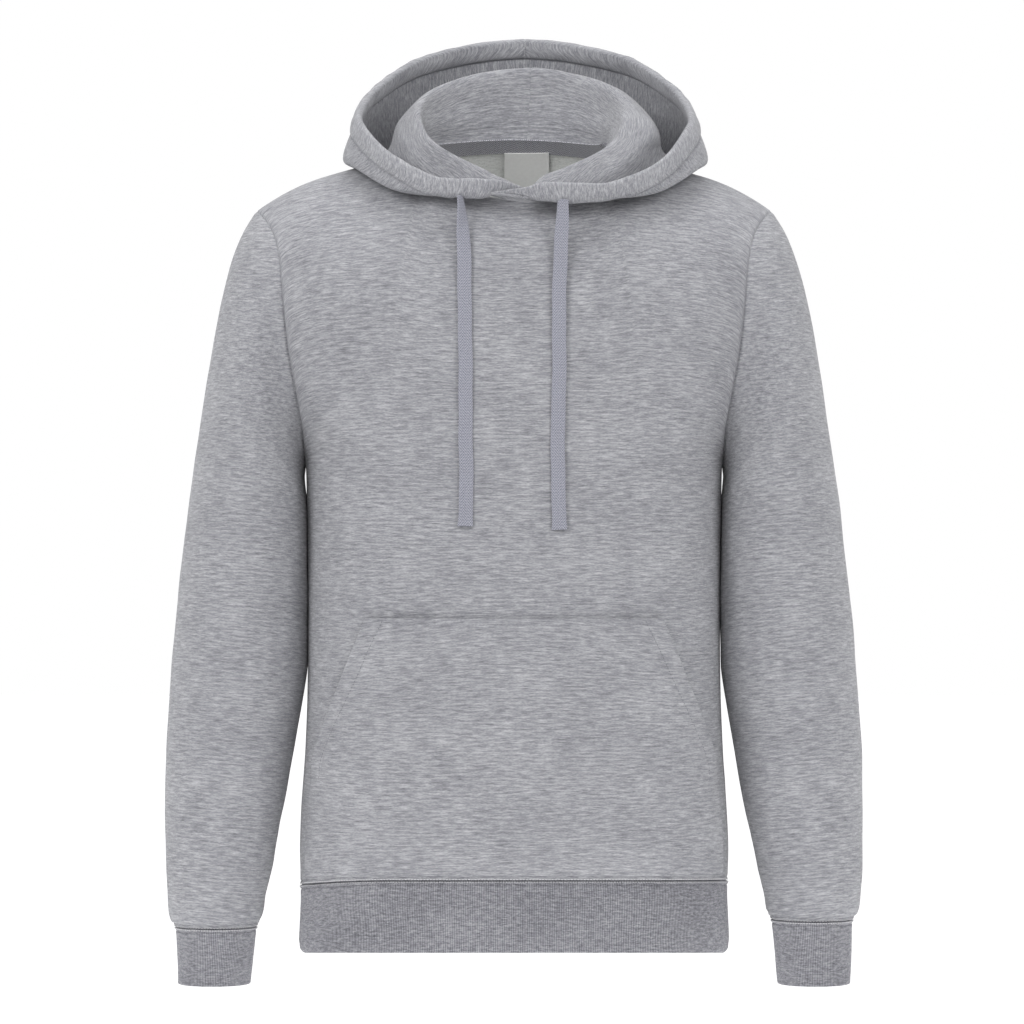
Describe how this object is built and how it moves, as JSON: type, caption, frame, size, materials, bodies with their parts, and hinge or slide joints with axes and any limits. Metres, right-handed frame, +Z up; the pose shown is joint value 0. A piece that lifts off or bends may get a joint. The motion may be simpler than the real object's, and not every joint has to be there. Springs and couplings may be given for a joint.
{
  "type": "pullover hoodie",
  "caption": "Pullover sweatshirt filled out in worn shape, with a lowered double hood, free drawcord ends, a pouch pocket, set-in sleeves, and ribbed cuffs and waistband.",
  "frame": {"origin": "midway between the two side neck points, where the shoulders carry the garment", "axes": "+Z up, -Y out of the front, +X towards the wearer's left sleeve"},
  "size_m": [0.626, 0.3131, 0.865],
  "materials": {
    "fleece": "heather grey sweatshirt knit, matt",
    "rib": "heather grey fine rib knit, matt",
    "tape": "grey herringbone twill tape",
    "label": "plain white woven label",
    "cord": "flat woven cord, light grey"
  },
  "bodies": {
    "root": {"front_panel": "fleece", "back_panel": "fleece", "sleeve_left": "fleece", "sleeve_right": "fleece", "kangaroo_pocket": "fleece", "hood_outer_left": "fleece", "hood_outer_right": "fleece", "hood_lining_left": "fleece", "hood_lining_right": "fleece", "waistband": "rib", "cuff_left": "rib", "cuff_right": "rib", "neck_tape": "tape", "neck_label": "label", "drawcord_left": "cord", "drawcord_right": "cord"}
  },
  "joints": []
}
